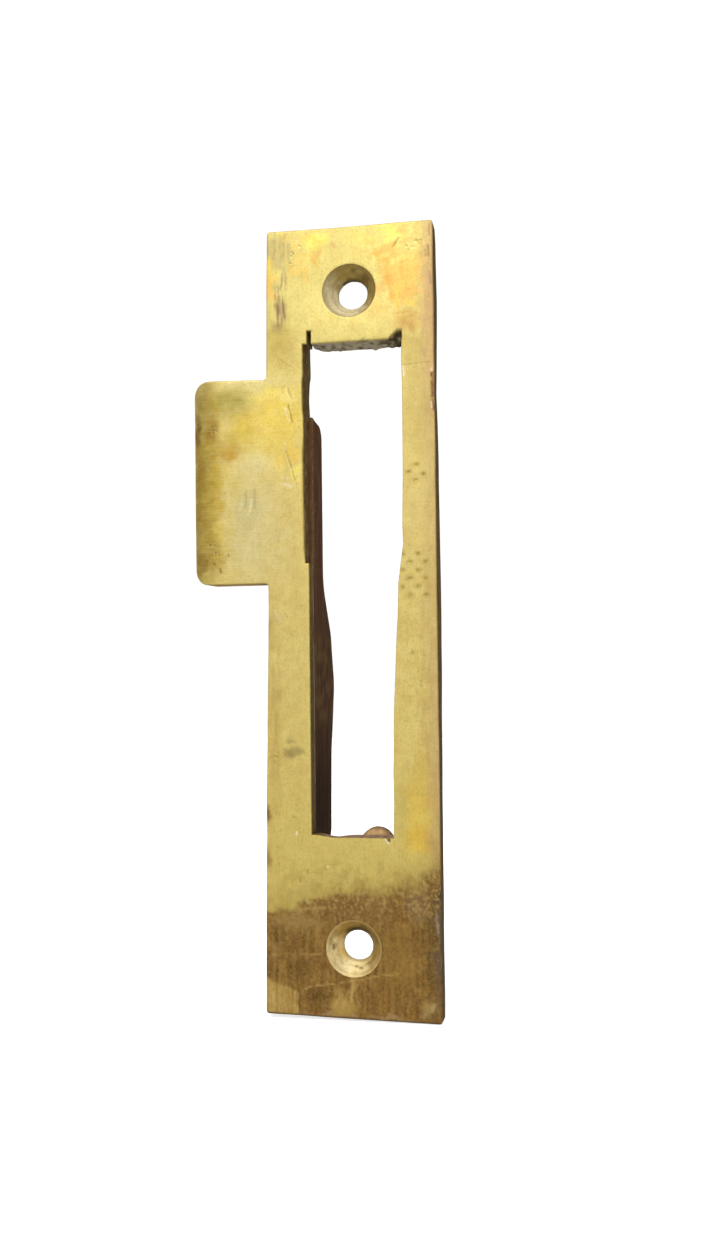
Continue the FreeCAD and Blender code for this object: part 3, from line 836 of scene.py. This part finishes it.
def paint_cut_faces(spots, depth, places):
    """The walls: olive brown in general, dark in blotches where sawn, grey where broken with black blotches
    of painted shade at its right end, tan round the lip; the right side face is dark, with painted shade
    deepening towards its bottom.
    """
    u, w = spots[:, 0], spots[:, 1]
    blotch = rough(places, 1.6, 51)
    cut = between("6E5A32", "947C4C", smooth(blotch, -0.5, 0.8))
    side = u > 12
    cut = mix(cut, "4C3C28", 0.85 * side)
    # Painted shade: the right side face darker towards the bottom.
    cut = mix(cut, "3A3026", 0.6 * side * smooth(-w, -5, 35))
    by_latch = (u < -6.9) & (u > -8) & (w > 7.3) & (w < 42)
    cut = mix(cut, between("4C3824", "785E3C", smooth(blotch, -0.4, 0.6)), 0.9 * by_latch)
    sawn = (u < -5.9) & (u > -8) & (w > 27)
    cut = mix(cut, "2E261A", sawn * np.clip(0.45 + 0.6 * blotch, 0, 1) * smooth(w, 27, 32))
    broken = (w > 40.2) & (u > -5.9) & (u < 7.85) & (w < 43.5)
    grey = between("4A463C", "A5A08C", smooth(rough(places, 0.8, 52) + 0.2, -0.5, 0.5))
    # Painted shade in black blotches over the right end of the broken face.
    shade_blotches = smooth(u + blotch, 4.6, 6.0) * smooth(rough(places, 0.5, 56), -0.35, 0.1)
    grey = mix(grey, "14120E", 0.9 * shade_blotches)
    cut = np.where(broken[:, None], grey, cut)
    sill = (w < OPENING_LOW) & (w > -34) & (np.abs(u) < 6.5)
    mauve = between("4A3834", "A88C80", smooth(rough(places, 0.7, 57), -0.7, 0.1))
    cut = mix(cut, mauve, 0.9 * sill)
    bolt_side = (u > -6.8) & (u < -5.9) & (w < 7.4) & (w > -33)
    cut = mix(cut, "4E3E26", 0.45 * bolt_side)
    cut = mix(cut, between("8C6A38", "C09A5C", smooth(blotch, -0.5, 0.5)), 0.8 * (u < -13.3))
    arris = 0.9 * band(depth, 2.85, 3.12, 0.12) * bolt_side * smooth(w, -30, -24)
    return mix(cut, "C4BAA6", arris * smooth(rough(places * (1, 0.3, 1), 1.5, 54), -0.7, 0.0))


def paint_plate(places):
    """Colour and dullness everywhere on the plate, from (u, w, depth)."""
    spots, depth = places[:, :2], places[:, 2]
    tint, dull = paint_face(spots)
    wall = smooth(depth, 0.08, 0.3)
    tint = mix(tint, paint_cut_faces(spots, depth, places), wall)
    dull = dull + (0.9 - dull) * wall
    cloud = rough(spots, 4.0, 53) + 0.4 * rough(spots, 1.6, 55)
    back = between("5E4C2E", "8A7646", smooth(cloud, -0.5, 0.7))
    tint = mix(tint, back, smooth(depth, PLATE_THICK - 0.12, PLATE_THICK))
    return paint_screw_hole(spots, depth, tint, dull)


def make_plate():
    loops = skin_outlines("strike_plate", unfold_plate)
    outlines = []
    for loop in loops:
        size = np.ptp(loop, axis=0)
        if size[1] > 100:
            outlines.append(rim_outline(loop))
        elif size[1] > 20:
            outlines.append(opening_outline(loop))
        else:
            outlines.append(screw_outline(loop))
    marks = JAW_MARKS + PITS
    for _, start, end, _, _ in FINE_MARKS_AND_PAINTED_LIGHT:
        steps = np.linspace(0, 1, 2 + int(math.dist(start, end) / 0.7))[:, None]
        marks = marks + [tuple(spot) for spot in np.array(start) + steps * (np.array(end) - np.array(start))]
    piece, places, edges = build_sheet(
        "worn_strike_plate", outlines, PLATE_THICK, fold_plate, 0.3, plate_relief, marks)
    tint, dull = paint_plate(places)
    on_lip = band(places[:, 1], LIP_LOW, LIP_HIGH, 1.5) * (1 - smooth(places[:, 0], -12, -7))
    return with_values(piece, tint=tint, dull=dull, edge=edges, brushed=on_lip)


# ---- cheeks, lug and seams

def cheek_frame(skin_x):
    """Unfold and fold for a cheek whose front skin faces +X: u is depth into the door frame, w is height."""

    def unfold(places):
        return np.column_stack([places[:, 1], places[:, 2], skin_x - places[:, 0]])

    def fold(spots):
        bow = 0.05 * rough(spots[:, :2] * (1, 0.5), 9, 61) * smooth(spots[:, 0], 1, 6)
        return np.column_stack([skin_x - spots[:, 2] - bow, spots[:, 0], spots[:, 1]])

    return unfold, fold


def cheek_outline(loop, thick):
    """A hand-filed edge: straight where it meets the plate, uneven where it stands free."""
    points = walk_finely(loop, 0.4)

    def push(spots, depth, aside):
        uneven = 0.09 * rough(spots, 5, 62) + 0.03 * rough(np.column_stack([spots, depth]), 1.2, 63) - 0.05
        return aside * (smooth(spots[:, 0], 0.2, 1.5) * uneven)[:, None]

    return Outline(points, np.linspace(0.45, thick - 0.45, 3), 0.25, 0.25, push)


def cheek_relief(spots):
    return 0.03 * rough(spots * (1, 0.3), 2.5, 64) + 0.012 * rough(spots, 0.6, 65)


def paint_cheek(places):
    """Dark brown patina in upright streaks, redder in the middle and near black at the low end."""
    spots = places[:, :2]
    streak = rough(places * (1, 0.14, 1), 1.0, 66) + 0.5 * rough(places * (1, 0.4, 1), 0.5, 67)
    tint = between("593E28", "76563C", smooth(streak, -0.8, 0.8))
    red = smooth(rough(places * (1, 0.1, 1), 2.0, 68), 0.0, 0.6)
    tint = mix(tint, "5E341E", 0.45 * red)
    olive = band(spots[:, 1], -14, -6, 5) * smooth(rough(places, 2.4, 69), -0.3, 0.5)
    tint = mix(tint, "8A7044", 0.7 * olive)
    tint = mix(tint, "2E1B0C", 0.7 * (1 - smooth(spots[:, 1], -29, -14)))
    tint = mix(tint, "5C3C3A", 0.6 * (1 - smooth(spots[:, 1] + spots[:, 0] / 3, -32.5, -30.5)))
    scratch = along_line(spots, (1.2, 16.0), (1.5, 17.6))[0]
    tint = mix(tint, "A08C70", 0.8 * np.exp(-(scratch / 0.12) ** 2))
    return tint


def make_cheek(name, node):
    low, high = box_in_mm(node)
    unfold, fold = cheek_frame(high.x)
    thick = high.x - low.x
    outlines = [cheek_outline(loop, thick) for loop in skin_outlines(node, unfold)]
    piece, places, edges = build_sheet(name, outlines, thick, fold, 0.4, cheek_relief)
    return with_values(piece, tint=paint_cheek(places), edge=edges)


def unfold_lug(places):
    return places[:, [0, 2, 1]]


def fold_lug(spots):
    return spots[:, [0, 2, 1]]


def no_relief(spots):
    return np.zeros(len(spots))


def make_lug():
    """The small round-topped lug behind the plate, its faces filed and its rim darkened with painted shade.
    """
    low, high = box_in_mm("end_lug")
    thick = high.y - low.y

    def push(spots, depth, aside):
        return aside * (0.05 * rough(np.column_stack([spots, depth]), 1.6, 71) - 0.04)[:, None]

    loops = skin_outlines("end_lug", unfold_lug)
    rows = np.linspace(0.4, thick - 0.4, 3)
    outlines = [Outline(walk_finely(loop, 0.25), rows, 0.15, 0.15, push) for loop in loops]
    piece, places, edges = build_sheet("filed_end_lug", outlines, thick, fold_lug, 0.2, no_relief)
    spots = places[:, :2]
    tint = between("BE9A66", "E4BE88", smooth(rough(places, 0.7, 72), -0.5, 0.5))
    radius = (high.x - low.x) / 2
    aside, above = (spots - ((low.x + high.x) / 2, high.z - radius)).T
    reach = np.hypot(aside, np.maximum(above, 0))
    # Painted shade along the rounded rim.
    tint = mix(tint, "6E5240", 0.7 * smooth(reach, radius - 0.45, radius - 0.12))
    return with_values(piece, tint=tint, edge=edges)


def make_bead(name, start, end, legs, seed):
    """A lumpy braze fillet along a straight corner: its section has one leg on each of two faces."""
    start, end = np.array(start), np.array(end)
    length = float(np.linalg.norm(end - start))
    count = round(length / 0.25)
    run = (end - start) / length
    first, second = (np.array(leg, float) for leg in legs)
    reach = 1.25
    hollow = [(0.96, 0.0), (0.8, 0.13), (0.6, 0.25), (0.42, 0.42)]
    section = [(0.0, 0.0)] + hollow + [(b, a) for a, b in hollow[-2::-1]]
    places, faces = [], []
    for step in range(count + 1):
        along = length * step / count
        from_end = min(along, length - along)
        ends = math.sqrt(min(1.0, (from_end + 0.05) / 1.4))
        for a, b in section:
            spot = start + run * along
            lump = 0.82 + 0.17 * noise.noise(Vector((along / 1.3, 3 * a - 3 * b, seed)))
            swell = lump * ends * (1 + 0.1 * noise.noise(Vector((along / 0.4, a * 5, seed + 5))))
            places.append(spot + (first * a + second * b) * reach * swell)
    corners = len(section)
    for step in range(count):
        for corner in range(corners):
            after = (corner + 1) % corners
            here, there = step * corners, (step + 1) * corners
            faces.append((here + corner, here + after, there + after, there + corner))
    faces.append(tuple(range(corners))[::-1])
    faces.append(tuple(range(count * corners, (count + 1) * corners)))
    turned = np.dot(np.cross(first, second), run) < 0
    if turned:
        faces = [face[::-1] for face in faces]
    places = np.array(places)
    piece = new_piece(name, places, faces)
    tint = between("6E5424", "B49650", smooth(rough(places, 1.1, 81 + seed), -0.5, 0.6))
    tint = mix(tint, "3C2C1C", 0.7 * smooth(rough(places, 2.2, 84 + seed), 0, 0.5))
    return with_values(piece, tint=tint)


def make_side_bead(name, node, outward):
    """The fillet between a cheek's outer face and the plate's back."""
    low, high = box_in_mm(node)
    corner_x = low.x if outward > 0 else high.x
    return make_bead(name, (corner_x, 0, low.z), (corner_x, 0, high.z), ((outward, 0, 0), (0, 1, 0)), outward)


def make_lug_bead(name):
    low, high = box_in_mm("lug_braze_seam")
    return make_bead(name, (low.x, 0, high.z), (high.x, 0, high.z), ((0, 1, 0), (0, 0, -1)), 3)


# ---- materials

def feed_node(tree, made, inputs):
    """Link or set a node's inputs, by name or number."""
    for key, value in inputs.items():
        if isinstance(value, bpy.types.NodeSocket):
            tree.links.new(value, made.inputs[key])
        else:
            made.inputs[key].default_value = value


class Shader:
    """A node tree under construction: `add` makes a node and links or sets its inputs by name."""

    def __init__(self, name):
        self.material = bpy.data.materials.new(name)
        self.material.use_nodes = True
        self.tree = self.material.node_tree
        self.surface = self.tree.nodes["Principled BSDF"]

    def add(self, kind, inputs, **settings):
        made = self.tree.nodes.new("ShaderNode" + kind)
        for key, value in settings.items():
            setattr(made, key, value)
        self.feed(made, inputs)
        return made

    def feed(self, made, inputs):
        feed_node(self.tree, made, inputs)

    def value(self, name, output="Fac"):
        return self.add("Attribute", {}, attribute_name=name).outputs[output]

    def grain(self, per_mm, detail=3.0, roughness=0.6):
        """Noise over the object, with a number of lumps per mm along each axis."""
        place = self.tree.nodes.get("place")
        if place is None:
            place = self.add("TexCoord", {})
            place.name = "place"
        scale = [count / MM for count in per_mm]
        stretched = self.add("Mapping", {"Vector": place.outputs["Object"], "Scale": scale})
        made = self.add("TexNoise", {"Vector": stretched.outputs[0], "Scale": 1.0, "Detail": detail,
                                     "Roughness": roughness})
        return made.outputs["Fac"]

    def remap(self, value, low, high, to_low=0.0, to_high=1.0):
        made = self.add("MapRange", {"Value": value, "From Min": low, "From Max": high, "To Min": to_low,
                                     "To Max": to_high})
        return made.outputs[0]

    def sum(self, first, second, operation="ADD"):
        return self.add("Math", {0: first, 1: second}, operation=operation).outputs[0]

    def blend(self, share, first, second, kind="MIX"):
        made = self.add("MixRGB", {"Fac": share, "Color1": first, "Color2": second}, blend_type=kind)
        return made.outputs[0]

    def tone(self, tint, text, value, low, high, most, kind="MIX"):
        """The tint, with up to `most` of a hex colour as the value goes from low to high."""
        return self.blend(self.remap(value, low, high, 0.0, most), tint, opaque(text), kind)

    def times(self, first, second):
        return self.sum(first, second, "MULTIPLY")

    def bump(self, height, strength, distance_mm, before=None):
        inputs = {"Height": height, "Strength": strength, "Distance": distance_mm * MM}
        if before is not None:
            inputs["Normal"] = before
        return self.add("Bump", inputs).outputs[0]


def opaque(text):
    return (*colour(text), 1.0)


def worn_brass():
    """The plate: stained yellow brass, brushed along and across, speckled, bright at its edges."""
    shader = Shader("worn_brass")
    tint = shader.value("tint", "Color")
    dull = shader.value("dull")
    speckle = shader.grain((3.2, 3.2, 3.2), 4.0, 0.7)
    mottle = shader.grain((0.55, 0.55, 0.45), 4.0, 0.6)
    across = shader.grain((0.25, 2.0, 9.0), 2.0, 0.5)
    along = shader.grain((7.0, 2.0, 0.35), 2.0, 0.5)
    tint = shader.tone(tint, "C9A45A", mottle, 0.3, 0.7, 0.22, "MULTIPLY")
    warm = shader.grain((1.3, 1.3, 1.0), 5.0, 0.65)
    tint = shader.tone(tint, "F0C860", warm, 0.5, 0.72, 0.15)
    tint = shader.tone(tint, "A9985A", warm, 0.47, 0.28, 0.32)
    tint = shader.tone(tint, "B08A40", speckle, 0.5, 0.75, 0.45)
    brushed = shader.value("brushed")
    crossing = shader.times(shader.remap(across, 0.5, 0.75, 0.0, 0.16), brushed)
    tint = shader.blend(crossing, tint, opaque("FFF6C8"))
    off_lip = shader.remap(brushed, 0.0, 1.0, 1.0, 0.2)
    unbrushed = shader.times(off_lip, shader.remap(dull, 0.4, 0.6, 1.0, 3.5))
    upright = shader.times(shader.remap(along, 0.5, 0.75, 0.0, 0.13), unbrushed)
    tint = shader.blend(upright, tint, opaque("8F7434"))
    rubbed = shader.times(shader.value("edge"), shader.remap(mottle, 0.4, 0.65))
    tint = shader.tone(tint, "E8D79A", rubbed, 0.35, 1.0, 0.12)
    roughness = shader.sum(shader.remap(speckle, 0.3, 0.7, 0.34, 0.5), shader.times(dull, 0.3))
    roughness = shader.sum(roughness, shader.times(shader.value("edge"), 0.35))
    normal = shader.bump(speckle, 0.35, 0.03)
    normal = shader.bump(shader.times(across, brushed), 0.2, 0.015, normal)
    normal = shader.bump(along, 0.25, 0.01, normal)
    metal = shader.remap(dull, 0.6, 0.9, 0.7, 0.1)
    shader.feed(shader.surface, {"Base Color": tint, "Roughness": roughness, "Metallic": metal,
                                 "Specular IOR Level": 0.15, "Normal": normal})
    return shader.material


def dark_patina(name, shine, rubbed_colour):
    """Old oxidised brass: near-matt, streaked upright, with the metal showing faintly on rubbed edges."""
    shader = Shader(name)
    tint = shader.value("tint", "Color")
    grit = shader.grain((2.6, 2.6, 2.6), 5.0, 0.7)
    streaks = shader.grain((1.5, 1.5, 0.16), 4.0, 0.6)
    tint = shader.tone(tint, "9A7A58", streaks, 0.35, 0.7, 0.4, "MULTIPLY")
    tint = shader.tone(tint, "83694A", grit, 0.55, 0.8, 0.4)
    rubbed = shader.times(shader.value("edge"), shader.remap(grit, 0.4, 0.6))
    tint = shader.tone(tint, rubbed_colour, rubbed, 0.4, 1.0, 0.35)
    roughness = shader.remap(grit, 0.3, 0.7, 0.8 - shine, 0.95 - shine)
    normal = shader.bump(grit, 0.5, 0.04)
    normal = shader.bump(streaks, 0.35, 0.05, normal)
    shader.feed(shader.surface, {"Base Color": tint, "Roughness": roughness, "Specular IOR Level": shine,
                                 "Normal": normal})
    return shader.material


def finish_piece(piece, material, node):
    piece.data.materials.append(material)
    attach(piece, "root")
    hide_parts(node)


# ---- stage

def make_floor():
    """A wide pale floor just under the plate."""
    height = cad_box[0].z - 0.05 * MM
    half = 1.5
    mesh = bpy.data.meshes.new("pale_floor")
    corners = [(x * half, y * half, height) for x, y in ((-1, -1), (1, -1), (1, 1), (-1, 1))]
    mesh.from_pydata(corners, [], [(0, 1, 2, 3)])
    floor = new_object("pale_floor", mesh)
    shader = Shader("pale_floor")
    grain = shader.grain((0.05, 0.05, 0.05))
    tint = shader.blend(grain, opaque("F4F3F1"), opaque("F8F8F7"))
    seen = shader.add("LightPath", {}).outputs["Is Camera Ray"]
    place = shader.add("TexCoord", {}).outputs["Object"]
    away = shader.add("VectorMath", {0: place}, operation="LENGTH").outputs["Value"]
    glow = shader.remap(away, 0.1, 0.4, 0.75, 1.0)
    shader.feed(shader.surface, {"Base Color": tint, "Roughness": 0.9, "Emission Color": (1, 1, 1, 1),
                                 "Emission Strength": shader.times(seen, glow)})
    mesh.materials.append(shader.material)


def make_sky():
    """Plain white to the camera, and to the object a soft room: brighter in front, dimmer behind."""
    world = bpy.data.worlds.new("studio")
    world.use_nodes = True
    bpy.context.scene.world = world
    tree = world.node_tree
    tree.nodes.clear()

    def add(kind, inputs):
        made = tree.nodes.new("ShaderNode" + kind)
        feed_node(tree, made, inputs)
        return made.outputs

    place = add("TexCoord", {})["Generated"]
    inward = add("SeparateXYZ", {0: place})["Y"]
    ramp = add("MapRange", {"Value": inward, "From Min": -1, "From Max": 1, "To Min": 0.6, "To Max": 0.3})
    room = add("Background", {"Strength": ramp[0]})
    plain = add("Background", {"Color": (1, 1, 1, 1), "Strength": 1.05})
    seen = add("LightPath", {})["Is Camera Ray"]
    either = add("MixShader", {0: seen, 1: room[0], 2: plain[0]})
    add("OutputWorld", {0: either[0]})


def make_light(name, place, aim, size, power):
    lamp = bpy.data.lights.new(name, "AREA")
    lamp.size = size
    lamp.energy = power
    holder = new_object(name, lamp)
    holder.location = place
    holder.rotation_mode = "QUATERNION"
    holder.rotation_quaternion = (Vector(aim) - Vector(place)).to_track_quat("-Z", "Y")


def make_camera():
    """The photograph's viewpoint: near the middle of the plate, a little to its right."""
    right = Vector((0.98235, 0.18694, -0.00673))
    up = Vector((0.01986, -0.06848, 0.99746))
    forward = Vector((-0.18600, 0.97998, 0.07098))
    place = Vector((32.12, -172.825, -13.89)) * MM
    data = bpy.data.cameras.new("camera")
    data.lens = 33.80
    data.clip_start = 0.01
    camera = new_object("camera", data)
    turn = Matrix((right, up, -forward)).transposed().to_4x4()
    camera.matrix_world = Matrix.Translation(place) @ turn
    bpy.context.scene.camera = camera


finish_piece(make_plate(), worn_brass(), "strike_plate")
patina = dark_patina("dark_patina", 0.06, "9A7C4C")
for side in ("left", "right"):
    node = side + "_keep_cheek"
    finish_piece(make_cheek(side + "_cheek", node), patina, node)
finish_piece(make_lug(), dark_patina("filed_lug_brass", 0.2, "D8B48A"), "end_lug")
braze = dark_patina("braze_metal", 0.3, "C8AC68")
for side, outward in (("left", -1), ("right", 1)):
    node = side + "_braze_seam"
    finish_piece(make_side_bead(side + "_braze_bead", node, outward), braze, node)
finish_piece(make_lug_bead("lug_braze_bead"), braze, "lug_braze_seam")

make_floor()
make_sky()
make_light("key", (-0.08, -0.5, 0.62), (0, 0, 0), 0.4, 4.5)
make_light("fill", (0.3, -0.6, -0.15), (0, 0, 0), 0.5, 1.7)
make_camera()
bpy.context.scene.view_settings.view_transform = "Standard"
